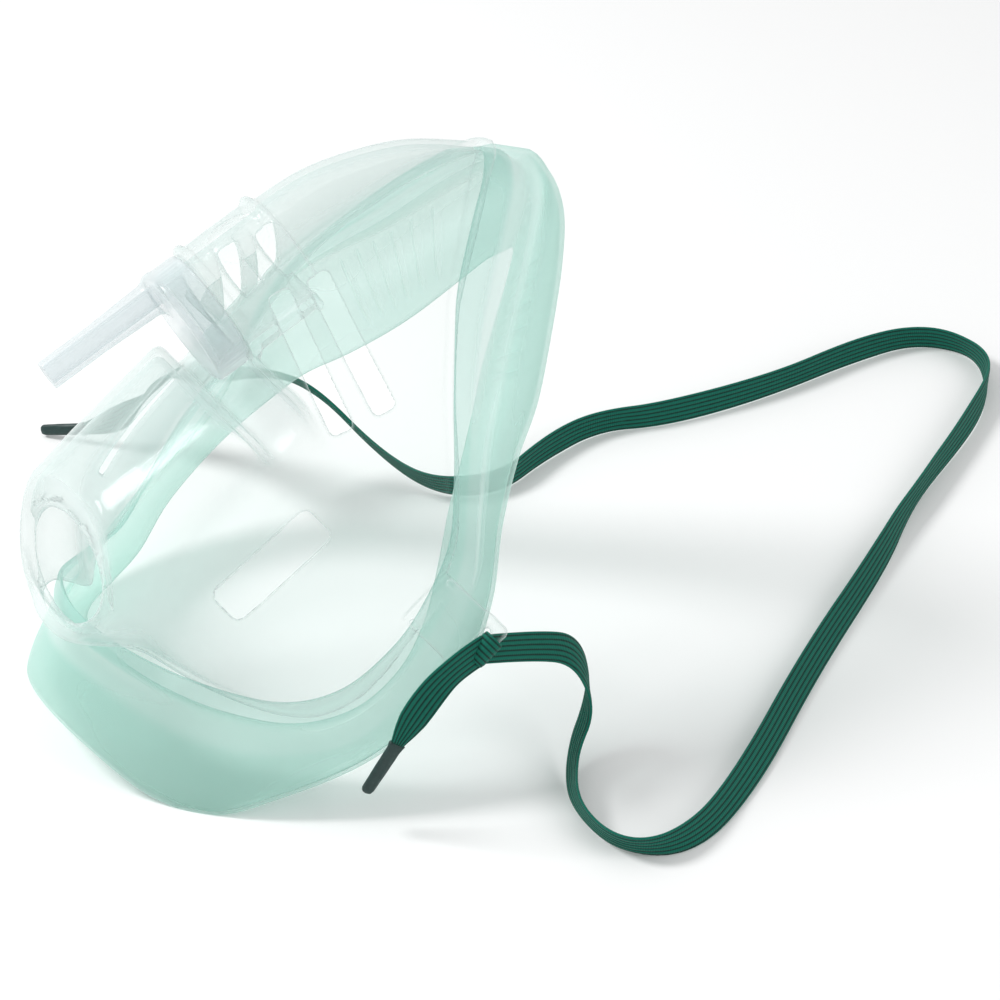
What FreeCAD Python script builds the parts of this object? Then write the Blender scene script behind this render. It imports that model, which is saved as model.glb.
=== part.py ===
import FreeCAD, Part
import math
import os

from FreeCAD import Vector

# Clear oxygen face mask with a soft face seal, a swivelling tubing connector and an elastic
# head strap.  All lengths are in millimetres.
#
# The mask is drawn in its own mask frame and then set down on the floor:
#   x runs from chin (-) to nose (+), y is minus on the wearer's left, z points out of the face.
# The strap is drawn in the resting frame: +Z up, floor at z = 0.

# ---- driving dimensions -------------------------------------------------------------------
REST_TILT = 35.4            # the mask leans back by this angle when it lies on its chin, degrees
REST_SHIFT = (16.7, 0.0, 31.9)   # from the middle of the lug line to the middle of the footprint

WALL = 1.3                  # wall of the moulded shell
SHOULDER = 48.0             # height of the flat shoulder that the mouth bulge rises from

BALL_RADIUS = 22.5          # mouth bulge
BALL_CHIN = (-37.5, 45.0)   # x, z of the bulge's lower round end
BALL_NOSE = (-6.0, 49.5)    # x, z of its upper end, under the port
BULGE_SILL = 1.5            # the bulge is cut off this far in front of the cap's end face

PORT_TILT = 12.0            # the port leans away from the face towards the chin, degrees
PORT_FRONT = (0.8, 71.6)    # x, z on the port's axis at the end face of the tube cap
COLLAR_RADIUS = 13.0
COLLAR_BORE = 10.4
SPIGOT_RADIUS = 11.7        # turned-down end of the collar that the cap swivels on
SPIGOT_GAP = 0.5            # between the spigot's end and the cap's plate
SPIGOT_ROOT = 2.0           # length of the spigot inside the collar's own end
COLLAR_LENGTH = 27.0
CAP_LENGTH = 8.0
CAP_PLATE = 1.6
CAP_ROUND = 1.2
SWIVEL_CLEARANCE = 0.06     # radial play between cap and spigot
BEAD_RADIUS = 14.0
BEAD_WIDTH = 1.8
BEAD_GAP = 0.4              # between the cap's open end and the bead behind it
CAP_ROOM = 0.5              # room round the cap where the nose ridge comes up beside it

NIPPLE_OFFSET = 8.6         # the tube nipple stands beside the port's axis
NIPPLE_TURN = 31.0          # and is turned towards the wearer's right, degrees
NIPPLE_LENGTH = 27.0
NIPPLE_ROOT_RADIUS = 3.7
NIPPLE_TIP_RADIUS = 3.15
NIPPLE_BARREL = 12.0        # straight stretch at the tip that the tubing is pushed onto
NIPPLE_BORE = 2.1
NIPPLE_SUNK = 0.8           # how far the nipple's root goes into the cap's plate

DISC_RADIUS = 6.0           # blank raised disc on the collar
DISC_HEIGHT = 0.5
DISC_AT = 18.5              # distance of the disc's middle from the cap's end face
DISC_TURN = 14.0            # and how far it is turned towards the wearer's left, degrees

SLOT_ROUND = 0.45           # share of half a slot's width used for its corner radius
SLOT_DEPTH = 14.0           # of the bar that cuts a slot through the wall

EAR_START = -10.5           # strap ear on each cheek, x of its chin edge
EAR_LENGTH = 13.0
EAR_PROFILE = [(46.8, 17.2), (51.6, 15.8), (56.3, 11.0), (58.4, 8.9), (57.3, 7.8), (55.2, 9.9),
               (50.8, 14.4), (46.4, 15.6)]     # half width and z, round the ear's section
LUG_BAR = (-3.5, 60.3, 7.0)  # x, half width, z of the middle of the bar that holds the strap
LUG_BAR_RADIUS = 1.4
LUG_BAR_LENGTH = 11.0
LUG_POST = 1.8              # thickness of the two posts between ear and bar
LUG_SUNK = 0.5              # how far a post's foot goes into the ear

SEAL_THICK = 1.1
SEAL_EDGE = 0.7
SEAL_CORNER = 0.5           # least share of the skin's thickness that a sharp fold keeps

RIBBON_WIDTH = 6.35
RIBBON_THICK = 0.9
STRAP_TUBE = 2 * math.sqrt(RIBBON_WIDTH * RIBBON_THICK / math.pi)   # round, of the same area
TIP_SIZE = (2.8, 1.6)       # width and thickness of the sealed ends
TIP_ROUND = 0.5


# ---- outlines of the shell, wearer's left half --------------------------------------------
# Each level is the outline of the shell in a plane parallel to the face: the height z, the x of
# the chin end and of the nose end, and (x, half width) between them.
SHELL_LEVELS = [
    (-4.0, -61.0, 90.0, [(-57, 22), (-50, 40), (-37, 53), (-18, 62), (2, 64), (22, 62), (40, 52),
                         (57, 38), (75, 22)]),
    (22.0, -58.0, 80.0, [(-54, 17), (-48, 29.5), (-36, 38.5), (-18, 43.5), (0, 44.5), (18, 43.5),
                         (35, 38), (51, 28.5), (68, 16)]),
    (48.0, -53.0, 70.5, [(-50, 10), (-44, 17), (-33, 22), (-18, 24), (-2, 25), (14, 25.5),
                         (29, 23.5), (45, 18), (60, 10.5)]),
]

# Height of the shell's rim above the lug line, as seen from the side: (x, z).
RIM_SIDE = [(-85, 46), (-64, 43), (-56, 39.5), (-50, 26), (-41, 14), (-30, 11), (-14, 13.5),
            (-4, 15.5), (8, 19.5), (19, 27), (29, 34.5), (39, 40), (46, 42.7), (61, 46), (71, 47),
            (95, 48)]
RIM_SPAN = 90.0             # half width and depth of the block that trims the shell to its rim

# Sections of the nose ridge: x, half width at its foot, half width and height of its round top.
RIDGE_SECTIONS = [(6, 25.5, 13, 69.5), (18, 25, 13, 67.5), (29, 23.5, 12.2, 66),
                  (41, 20, 10.5, 64.5), (52, 15.5, 8.8, 60), (61, 11, 7, 54.5), (69.5, 6, 4, 47)]
RIDGE_FOOT = 42.0

# Long vent slots beside the nose and short ones on the cheeks: start, end (x, y, z), width.
NOSE_SLOTS = [((19.5, -13.5, 71.0), (8.5, -27.0, 45.0), 4.8),
              ((27.5, -12.5, 66.5), (17.5, -27.5, 41.5), 4.8)]
CHEEK_SLOT = ((-33.0, -35.5, 42.0), (-7.5, -34.5, 39.5), 8.0)

# Chin opening: middle of its outer and inner oval (x, z), half height and half width of each.
CHIN_OUTER = ((-47.0, 54.5), 14.5, 16.0)
CHIN_INNER = ((-49.5, 50.0), 11.0, 14.0)
CHIN_TILT = 37.0            # the opening faces forward and down towards the chin, degrees
CHIN_BEVEL = 42.0           # slope of the bevel above the opening, degrees
CHIN_LAND = 2.1             # flat between the opening and the bevel
REACH = 60.0                # size of the blocks that cut the bulge off

# ---- face seal, wearer's left half, nose to chin -------------------------------------------
# rim: where it is moulded onto the shell.  fold: end of the band.  roll: outermost bulge.
# lip: free inner edge that lies on the face.  All (x, half width, z).
SEAL_RIM = [(70.5, 0, 47), (66.5, 6.5, 46.8), (58, 12.5, 45.6), (46, 20, 42.7), (38, 26, 39.5),
            (28, 33.5, 34), (18, 40, 26.5), (8, 44.8, 19.5), (-4, 47.5, 15.5), (-16, 48, 13),
            (-30, 44.5, 11.5), (-41, 37, 14.5), (-49, 27.5, 25), (-54, 17, 35), (-56, 8, 38.8),
            (-56.5, 0, 39.8)]
SEAL_FOLD = [(75, 0, 39), (71.5, 9, 38.5), (62, 16.5, 37), (48, 25, 34), (38, 32, 32),
             (28, 39, 29), (17.5, 45, 22.5), (6, 49.5, 14), (-7, 52, 9.5), (-20, 52, 6.8),
             (-35, 49, 6), (-46, 42, 11), (-53, 34, 19), (-58, 23, 27.5), (-61, 11, 34.5),
             (-62, 0, 38)]
SEAL_ROLL = [(77.5, 0, 30), (74, 11, 29.5), (65, 20, 27), (51, 30, 23.5), (40, 38, 22),
             (29, 44.5, 21.5), (17, 50, 17), (5, 54, 8.5), (-8, 56, 2), (-22, 56.5, 1),
             (-38, 54, 2.5), (-55, 47, 6), (-67, 39, 8.5), (-73.5, 28, 15), (-75.5, 14, 25),
             (-76, 0, 29)]
SEAL_LIP = [(62, 0, 22), (57, 4, 21), (49, 8, 19), (39, 13, 16.5), (31, 18, 14.5), (22, 24, 13),
            (12, 31, 12), (2, 37, 9), (-8, 42, 6), (-19, 44.5, 4), (-31, 43, 4), (-42, 36, 6.5),
            (-50, 27, 14), (-55, 18, 22), (-57.5, 9, 28), (-58, 0, 30)]

# ---- strap routes in the resting frame ------------------------------------------------------
# The loop runs from the wearer's left lug over the floor to the right one; a tail hangs at each.
LOOP_ROUTE = [(9.8, -60.3, 35.6), (22.5, -60.3, 31.5), (33, -59.5, 25.5), (36.5, -60.5, 12),
              (26.5, -67, 3.2), (19.5, -81, 3.2), (21, -95.5, 2.8), (34.5, -100.5, 2.3),
              (56, -90, 2.2), (90, -66, 2.2), (126, -44, 2.4), (147, -29, 3), (182.5, -9.5, 3.3),
              (199, 4, 3.3), (202, 17, 3.3), (193.5, 28, 3.3), (175.5, 30, 3.3), (148.5, 28, 3.3),
              (118.5, 31, 3.3), (102.5, 37.5, 3.3), (86, 34.5, 3.3), (68, 27, 3.3),
              (54, 33.5, 4), (46.5, 45, 9), (35, 57.5, 26.5), (22.5, 60.8, 32.5),
              (9.8, 60.3, 35.6)]
LEFT_TAIL_ROUTE = [(9.8, -60.3, 35.6), (2, -62.5, 36), (-6, -62.6, 30), (-11.5, -61.5, 21)]
LEFT_TIP_END = (-17.8, -59, 9.2)
RIGHT_TAIL_ROUTE = [(9.8, 60.3, 35.6), (10, 71.5, 32), (8.5, 82, 24), (5.5, 89, 13.5),
                    (-0.5, 94.5, 7), (-5.5, 99.5, 4.2)]
RIGHT_TIP_END = (-13.2, 108.4, 1.6)
STRAP_MIN_BEND = 3.0        # smallest bend radius of the limp elastic, in tube diameters


def point(x, y, z):
    return Vector(x, y, z)


def mirrored(shape):
    """The same shape on the wearer's other side."""
    return shape.mirror(Vector(0, 0, 0), Vector(0, 1, 0))


def closed_spline(points):
    curve = Part.BSplineCurve()
    curve.interpolate(Points=points, PeriodicFlag=True)
    return Part.Wire([curve.toShape()])


def open_spline(points):
    curve = Part.BSplineCurve()
    curve.interpolate(Points=points)
    return curve.toShape()


def fused(shapes):
    return shapes[0].multiFuse(shapes[1:]).removeSplitter()


def cylinder_between(start, end, radius):
    axis = end - start
    return Part.makeCylinder(radius, axis.Length, start, axis)


# ---- port frame -----------------------------------------------------------------------------
def port_axis():
    """Unit vector along the port, out of the mask and towards the chin."""
    lean = math.radians(PORT_TILT)
    return Vector(-math.cos(lean), 0, math.sin(lean))


def port_point(back, side=0.0, front=0.0):
    """A point `back` millimetres inward from the cap's end face, off the axis to y and outward."""
    axis = port_axis()
    outward = Vector(math.sin(math.radians(PORT_TILT)), 0, math.cos(math.radians(PORT_TILT)))
    middle = Vector(PORT_FRONT[0], 0, PORT_FRONT[1])
    return middle - axis * back + Vector(0, side, 0) + outward * front


def port_cylinder(radius, back_start, back_end):
    return cylinder_between(port_point(back_start), port_point(back_end), radius)


# ---- shell ----------------------------------------------------------------------------------
def level_outline(level, inset):
    height, chin, nose, sides = level
    left = [point(x, -(width - inset), height) for x, width in sides]
    right = [point(x, width - inset, height) for x, width in reversed(sides)]
    chin_end = [point(chin + inset, 0, height)]
    nose_end = [point(nose - inset, 0, height)]
    return closed_spline(chin_end + left + nose_end + right)


def cheeks(inset):
    """The flared body of the shell, up to the flat shoulder."""
    outlines = []
    for height, chin, nose, sides in SHELL_LEVELS:
        drop = inset if height == SHOULDER else 0.0
        outlines.append(level_outline((height - drop, chin, nose, sides), inset))
    return Part.makeLoft(outlines, True, False)


def nose_ridge(inset):
    """The rounded wedge that runs from the port up to the bridge of the nose."""
    sections = []
    front = RIDGE_SECTIONS[0][0]
    for x, foot, top, height in RIDGE_SECTIONS:
        x += inset if x == front else 0.0
        foot_in = foot - inset
        top_in = top - inset
        crown = [point(x, -foot_in, RIDGE_FOOT), point(x, -top_in * 0.97, height),
                 point(x, -top_in * 0.72, height + top_in * 0.66), point(x, 0, height + top_in),
                 point(x, top_in * 0.72, height + top_in * 0.66), point(x, top_in * 0.97, height),
                 point(x, foot_in, RIDGE_FOOT)]
        base = Part.LineSegment(crown[-1], crown[0]).toShape()
        sections.append(Part.Wire([open_spline(crown), base]))
    return Part.makeLoft(sections, True, False)


def chin_outward():
    """Unit vector straight out of the chin opening."""
    lean = math.radians(CHIN_TILT)
    return Vector(-math.sin(lean), 0, math.cos(lean))


def oval(middle, half_height, half_width):
    """An oval wire across the chin opening's axis."""
    outward = chin_outward()
    ellipse = Part.Ellipse()
    ellipse.Center = Vector(0, 0, 0)
    ellipse.MajorRadius = half_width
    ellipse.MinorRadius = half_height
    wire = Part.Wire([ellipse.toShape()])
    turn = FreeCAD.Rotation(Vector(0, 1, 0), outward.cross(Vector(0, 1, 0)) * -1, outward, "ZXY")
    wire.Placement = FreeCAD.Placement(Vector(middle[0], 0, middle[1]), turn)
    return wire


def beyond(spot, direction):
    """Everything on the far side of a plane, within reach of the bulge."""
    return cylinder_between(spot, spot + direction * REACH, REACH)


def chin_cut(inset):
    """What is cut off the bulge's chin end: all outside the opening, and a bevel above it."""
    outward = chin_outward()
    upward = Vector(outward.z, 0, -outward.x)
    (x, z), half_height, _ = CHIN_OUTER
    middle = point(x, 0, z)
    lean = math.radians(CHIN_BEVEL)
    slope = outward * math.cos(lean) + upward * math.sin(lean)
    above = middle + upward * (half_height + CHIN_LAND)
    flat = beyond(middle - outward * inset, outward)
    return flat.fuse(beyond(above - slope * inset, slope))


def mouth_bulge(inset):
    """The bulge over mouth and chin: a round-ended cylinder, cut off square below the port."""
    radius = BALL_RADIUS - inset
    chin_end = point(BALL_CHIN[0], 0, BALL_CHIN[1])
    nose_end = point(BALL_NOSE[0], 0, BALL_NOSE[1])
    body = cylinder_between(chin_end, nose_end, radius)
    round_chin = Part.makeSphere(radius, chin_end)
    round_nose = Part.makeSphere(radius, nose_end)
    bulge = fused([body, round_chin, round_nose])
    under_port = port_cylinder(REACH, inset - BULGE_SILL, REACH)
    return bulge.cut(under_port).cut(chin_cut(inset))


def behind_rim():
    """Everything on the face side of the shell's rim."""
    rim = open_spline([point(x, -RIM_SPAN, z) for x, z in RIM_SIDE])
    first = point(RIM_SIDE[0][0], -RIM_SPAN, RIM_SIDE[0][1])
    last = point(RIM_SIDE[-1][0], -RIM_SPAN, RIM_SIDE[-1][1])
    low_last = point(last.x, -RIM_SPAN, -RIM_SPAN)
    low_first = point(first.x, -RIM_SPAN, -RIM_SPAN)
    edges = [rim, Part.LineSegment(last, low_last).toShape(),
             Part.LineSegment(low_last, low_first).toShape(),
             Part.LineSegment(low_first, first).toShape()]
    return Part.Face(Part.Wire(edges)).extrude(Vector(0, 2 * RIM_SPAN, 0))


def chin_way(grow, overrun=0.0):
    """The clear way through the chin opening, a funnel, made `grow` larger all round."""
    outward = chin_outward()
    outer = oval(CHIN_OUTER[0], CHIN_OUTER[1] + grow, CHIN_OUTER[2] + grow)
    inner = oval(CHIN_INNER[0], CHIN_INNER[1] + grow, CHIN_INNER[2] + grow)
    if overrun:
        outer.translate(outward * overrun)
        inner.translate(outward * -overrun)
    return Part.makeLoft([inner, outer], True, True)


def slot_block(start, end, width):
    """A round-cornered bar along a slot, reaching through the wall."""
    start = Vector(*start)
    end = Vector(*end)
    along = end - start
    outward = Vector(0, -1, 0.75)
    across = along.cross(outward).normalize()
    through = across.cross(along).normalize()
    corner = Vector(0, -width / 2, -SLOT_DEPTH / 2)
    bar = Part.makeBox(along.Length, width, SLOT_DEPTH, corner)
    corners = [edge for edge in bar.Edges
               if abs(edge.tangentAt(edge.FirstParameter).z) > 0.9]
    bar = bar.makeFillet(width / 2 * SLOT_ROUND, corners)
    turn = FreeCAD.Rotation(along.normalize(), across, through, "XYZ")
    bar.Placement = FreeCAD.Placement(start, turn)
    return bar


def slots():
    bars = []
    for start, end, width in NOSE_SLOTS + [CHEEK_SLOT]:
        bar = slot_block(start, end, width)
        bars += [bar, mirrored(bar)]
    return bars


def collar_beads():
    """The two raised rings round the collar."""
    return [port_cylinder(BEAD_RADIUS, back, back + BEAD_WIDTH)
            for back in (CAP_LENGTH + BEAD_GAP, COLLAR_LENGTH - BEAD_WIDTH)]


def disc():
    """Blank raised disc on the collar, facing out of the face and a little to the left."""
    middle = port_point(DISC_AT)
    turn = math.radians(DISC_TURN)
    outward = port_point(DISC_AT, -math.sin(turn), math.cos(turn)) - middle
    return cylinder_between(middle, middle + outward * (COLLAR_RADIUS + DISC_HEIGHT), DISC_RADIUS)


def strap_ear():
    """The ear on the left cheek, over the outside of the seal, with the bar that holds the strap."""
    outline = [point(EAR_START, -y, z) for y, z in EAR_PROFILE]
    plate = Part.Face(Part.makePolygon(outline + outline[:1])).extrude(Vector(EAR_LENGTH, 0, 0))
    x, half_width, z = LUG_BAR
    middle = point(x, -half_width, z)
    half_bar = Vector(LUG_BAR_LENGTH / 2, 0, 0)
    bar = cylinder_between(middle - half_bar, middle + half_bar, LUG_BAR_RADIUS)
    edge_width, edge_height = EAR_PROFILE[3]
    foot = point(0, LUG_SUNK - edge_width, edge_height - LUG_SUNK)
    reach = point(0, -half_width, z) - foot
    posts = []
    for start in (EAR_START, EAR_START + EAR_LENGTH - LUG_POST):
        post = Part.makeBox(LUG_POST, LUG_POST, reach.Length, Vector(0, -LUG_POST / 2, 0))
        turn = FreeCAD.Rotation(Vector(0, 0, 1), reach)
        post.Placement = FreeCAD.Placement(Vector(start, foot.y, foot.z), turn)
        posts.append(post)
    return fused([plate, bar] + posts)


def shell():
    """The hard clear moulding, with the collar, the slots, the chin opening and both ears."""
    outside = fused([cheeks(0), nose_ridge(0), mouth_bulge(0)])
    inside = fused([cheeks(WALL), nose_ridge(WALL), mouth_bulge(WALL)])
    collar = fused([port_cylinder(COLLAR_RADIUS, CAP_LENGTH + BEAD_GAP, COLLAR_LENGTH),
                    port_cylinder(SPIGOT_RADIUS, CAP_PLATE + SPIGOT_GAP,
                                  CAP_LENGTH + SPIGOT_ROOT),
                    disc()] + collar_beads())
    ear = strap_ear()
    body = outside.cut(inside)
    body = body.cut(port_cylinder(COLLAR_RADIUS + CAP_ROOM, -CAP_LENGTH, CAP_LENGTH + BEAD_GAP))
    body = fused([body, collar])
    body = body.cut(port_cylinder(COLLAR_BORE, -CAP_LENGTH, COLLAR_LENGTH + WALL))
    body = body.cut(behind_rim())
    funnel = chin_way(WALL)
    funnel.translate(chin_outward() * (-WALL / 2))
    body = body.fuse(funnel).cut(chin_way(0, WALL))
    for bar in slots():
        body = body.cut(bar)
    return fused([body, ear, mirrored(ear)]).Solids[0]


# ---- tubing connector ------------------------------------------------------------------------
def nipple_point(out):
    """A point on the nipple's axis, `out` millimetres in front of the cap's end face."""
    turn = math.radians(NIPPLE_TURN)
    return port_point(-out, NIPPLE_OFFSET * math.sin(turn), NIPPLE_OFFSET * math.cos(turn))


def tubing_connector():
    """Swivel cap over the collar's spigot, with a tapered nipple for the oxygen tubing."""
    cap = port_cylinder(COLLAR_RADIUS, 0, CAP_LENGTH)
    end_edge = [edge for edge in cap.Edges
                if edge.CenterOfMass.distanceToPoint(port_point(0)) < CAP_ROUND]
    cap = cap.makeFillet(CAP_ROUND, end_edge)
    cap = cap.cut(port_cylinder(SPIGOT_RADIUS + SWIVEL_CLEARANCE, CAP_PLATE, 2 * CAP_LENGTH))
    taper_length = NIPPLE_LENGTH - NIPPLE_BARREL
    taper = Part.makeCone(NIPPLE_ROOT_RADIUS, NIPPLE_TIP_RADIUS, taper_length + NIPPLE_SUNK,
                          nipple_point(-NIPPLE_SUNK), port_axis())
    barrel = cylinder_between(nipple_point(taper_length), nipple_point(NIPPLE_LENGTH),
                              NIPPLE_TIP_RADIUS)
    bore = cylinder_between(nipple_point(-CAP_LENGTH), nipple_point(2 * NIPPLE_LENGTH),
                            NIPPLE_BORE)
    return fused([cap, taper, barrel]).cut(bore).Solids[0]


# ---- face seal -------------------------------------------------------------------------------
def seal_station(index, side):
    """The seal's outer skin at one station: its points at rim, fold, roll and lip."""
    rows = [line[index] for line in (SEAL_RIM, SEAL_FOLD, SEAL_ROLL, SEAL_LIP)]
    return [Vector(x, -side * width, z) for x, width, z in rows]


def seal_section(before, here, after):
    """The seal's cross-section at one station, its inner skin set square to the outer one."""
    towards_middle = Vector(-here[0].x, -here[0].y, 0).normalize()
    inner = [here[0] + towards_middle * SEAL_THICK]
    for row, thickness in ((1, SEAL_THICK), (2, SEAL_THICK), (3, SEAL_EDGE)):
        arriving = (here[row] - here[row - 1]).normalize()
        leaving = (here[row + 1] - here[row]).normalize() if row < 3 else arriving
        half_turn = (arriving + leaving).Length / 2
        inward = (arriving + leaving).cross(after[row] - before[row]).normalize()
        inner.append(here[row] + inward * thickness / max(half_turn, SEAL_CORNER))
    return Part.makePolygon(here + inner[::-1] + here[:1])


def face_seal():
    """The soft seal as ruled panels between its stations, round the whole rim."""
    last = len(SEAL_RIM) - 1
    stations = [seal_station(index, 1) for index in range(last + 1)]
    stations += [seal_station(index, -1) for index in range(last - 1, 0, -1)]
    sections = []
    for number, here in enumerate(stations):
        after = stations[(number + 1) % len(stations)]
        sections.append(seal_section(stations[number - 1], here, after))
    panels = []
    for here, following in zip(sections, sections[1:] + sections[:1]):
        for near, far in zip(here.Edges, following.Edges):
            panels.append(Part.makeRuledSurface(near, far))
    skin = Part.makeShell(panels)
    skin.sewShape()
    return Part.Solid(skin)


# ---- strap -----------------------------------------------------------------------------------
def strap_path(name, route):
    """Straight runs joined by tangent arcs, each arc as large as its two runs allow."""
    corners = [Vector(*spot) for spot in route]
    edges = []
    start = corners[0]
    for before, corner, after in zip(corners, corners[1:], corners[2:]):
        run_in = corner - before
        run_out = after - corner
        half_turn = run_in.getAngle(run_out) / 2
        reach = 0.45 * min(run_in.Length, run_out.Length)
        radius = reach / math.tan(half_turn)
        direction_in = Vector(run_in).normalize()
        direction_out = Vector(run_out).normalize()
        arc_start = corner - direction_in * reach
        arc_end = corner + direction_out * reach
        towards_centre = (direction_out - direction_in).normalize()
        depth = radius / math.cos(half_turn) - radius
        edges.append(Part.LineSegment(start, arc_start).toShape())
        edges.append(Part.Arc(arc_start, corner + towards_centre * depth, arc_end).toShape())
        start = arc_end
        if radius < STRAP_MIN_BEND * STRAP_TUBE:
            print("  tight bend", name, [round(value, 1) for value in corner])
        print(" ", name, "bend radius", round(radius, 1), "turn",
              round(math.degrees(2 * half_turn)))
    edges.append(Part.LineSegment(start, corners[-1]).toShape())
    return Part.Wire(edges)


def strap_tube(name, route):
    path = strap_path(name, route)
    first = Vector(*route[0])
    direction = Vector(*route[1]) - first
    section = Part.Wire([Part.makeCircle(STRAP_TUBE / 2, first, direction)])
    tube = path.makePipeShell([section], True, True)
    expected = math.pi * (STRAP_TUBE / 2) ** 2 * path.Length
    print(name, "length", round(path.Length, 1), "volume over section times length",
          round(tube.Volume / expected, 4))
    return tube


def strap_tip(route, end):
    """Hard sealed end of the elastic, narrower and thicker than the ribbon."""
    start = Vector(*route[-1])
    along = Vector(*end) - start
    length = along.Length
    width, thickness = TIP_SIZE
    tip = Part.makeBox(length, width, thickness, Vector(0, -width / 2, -thickness / 2))
    tip = tip.makeFillet(TIP_ROUND, [edge for edge in tip.Edges if edge.Length > length - 0.1])
    tip.Placement = FreeCAD.Placement(start, FreeCAD.Rotation(Vector(1, 0, 0), along))
    return tip.Solids[0]


# ---- export ---------------------------------------------------------------------------------
def at_rest(shape):
    """Lay a shape drawn in the mask frame down on the floor."""
    laid = shape.copy()
    laid.rotate(Vector(0, 0, 0), Vector(0, 1, 0), -REST_TILT)
    laid.translate(Vector(*REST_SHIFT))
    return laid


def main():
    """Every piece of the mask at rest, each in a STEP file of its own name."""
    os.makedirs("parts", exist_ok=True)
    parts = {
        "mask_shell": at_rest(shell()),
        "face_seal": at_rest(face_seal()),
        "tubing_connector": at_rest(tubing_connector()),
        "strap_loop": strap_tube("strap_loop", LOOP_ROUTE),
        "strap_tail_left": strap_tube("strap_tail_left", LEFT_TAIL_ROUTE),
        "strap_tail_right": strap_tube("strap_tail_right", RIGHT_TAIL_ROUTE),
        "strap_tip_left": strap_tip(LEFT_TAIL_ROUTE, LEFT_TIP_END),
        "strap_tip_right": strap_tip(RIGHT_TAIL_ROUTE, RIGHT_TIP_END),
    }
    for name, shape in parts.items():
        box = shape.optimalBoundingBox(False)
        print(name, shape.ShapeType, "solids", len(shape.Solids), "valid", shape.isValid(),
              "volume", round(shape.Volume), "box", [round(value, 2) for value in (
                  box.XMin, box.XMax, box.YMin, box.YMax, box.ZMin, box.ZMax)])
        shape.exportStep("parts/" + name + ".step")
    swivel = at_rest(Part.Vertex(port_point(0))).Point
    far = at_rest(Part.Vertex(port_point(10))).Point
    print("port axis through", swivel, "direction", (swivel - far).normalize())
    print("nipple tip", at_rest(Part.Vertex(nipple_point(NIPPLE_LENGTH))).Point)


if __name__ == "__main__":
    main()
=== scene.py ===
import bpy
import math
import numpy as np
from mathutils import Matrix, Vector


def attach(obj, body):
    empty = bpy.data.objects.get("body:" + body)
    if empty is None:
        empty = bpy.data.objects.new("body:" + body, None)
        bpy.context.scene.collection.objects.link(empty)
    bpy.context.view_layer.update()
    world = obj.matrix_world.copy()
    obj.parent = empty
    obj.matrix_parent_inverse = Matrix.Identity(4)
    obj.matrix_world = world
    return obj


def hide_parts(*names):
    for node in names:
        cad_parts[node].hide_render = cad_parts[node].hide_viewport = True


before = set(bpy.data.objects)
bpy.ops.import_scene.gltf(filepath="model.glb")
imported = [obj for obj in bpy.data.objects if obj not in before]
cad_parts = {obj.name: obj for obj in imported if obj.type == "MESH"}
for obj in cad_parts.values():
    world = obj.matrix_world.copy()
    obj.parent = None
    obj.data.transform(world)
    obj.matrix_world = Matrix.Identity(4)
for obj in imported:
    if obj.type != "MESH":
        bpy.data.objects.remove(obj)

# Clear oxygen face mask with a soft face seal, a tubing connector and an elastic head strap.
#
# The moulded pieces are drawn as distance fields in the mask's own frame, in millimetres:
#   x runs from chin (-) to nose (+), y is minus on the wearer's left, z points out of the face.
# A field is negative inside the piece.  mesh_field turns it into a smooth closed mesh, which
# to_rest lays down on the floor in metres.  The strap is drawn where it lies, in millimetres.

MM = 0.001
REST_TILT = math.radians(35.4)
REST_SHIFT = np.array((16.7, 0.0, 31.9))

WALL = 1.3                  # wall of the moulded shell
SHOULDER = 48.0             # flat shoulder that the mouth bulge rises from
SHOULDER_ROUND = 9.0
BULGE_RADIUS = 22.5
BULGE_CHIN = (-40.5, 0.0, 46.8)
BULGE_NOSE = (-6.0, 0.0, 49.5)
BULGE_SILL = 1.5            # the bulge is cut off this far in front of the cap's end face

PORT_TILT = math.radians(12.0)
PORT_FRONT = np.array((0.8, 0.0, 71.6))
COLLAR_RADIUS = 13.0
COLLAR_BORE = 10.4
COLLAR_LENGTH = 27.0
SPIGOT_RADIUS = 11.7
CAP_LENGTH = 8.0
CAP_PLATE = 1.6
CAP_ROUND = 1.2
CAP_ROOM = 0.5              # clear of the cap where the nose ridge comes up beside it
CAP_GRIPS = 60              # fine grooves round the cap
SWIVEL_CLEARANCE = 0.06
BEAD_RADIUS = 14.0
BEAD_ROUND = 0.95
BEAD_GAP = 0.4              # between the cap's open end and the bead behind it
DISC_RADIUS = 6.0           # blank disc on the collar, with a raised ring round it
DISC_AT = 18.5              # distance of its middle from the cap's end face
DISC_TURN = -0.25           # and its angle round the collar, radians
RIB_AT = 20.5               # short rib beside the disc
RIB_TURN = -1.0
RIB_HALF_TURN = 0.38

NIPPLE_OFFSET = 8.6
NIPPLE_TURN = math.radians(31.0)
NIPPLE_LENGTH = 27.0
NIPPLE_BARREL = 12.0
NIPPLE_ROOT_RADIUS = 3.7
NIPPLE_TIP_RADIUS = 3.15
NIPPLE_BORE = 2.1

CHIN_LEAN = math.radians(37.0)
CHIN_BEVEL = 0.73           # slope of the bevel above the chin opening, radians
CHIN_LAND = 2.1             # flat between the opening and the bevel
CHIN_DEPTH = 3.8            # depth of the opening's collar
CHIN_RIM = (-48.6, 54.6, 13.2, 19.2)      # x, z, half height and half width of the outer oval
CHIN_THROAT = (-50.9, 50.4, 10.4, 16.6)   # the same for the inner oval

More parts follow.
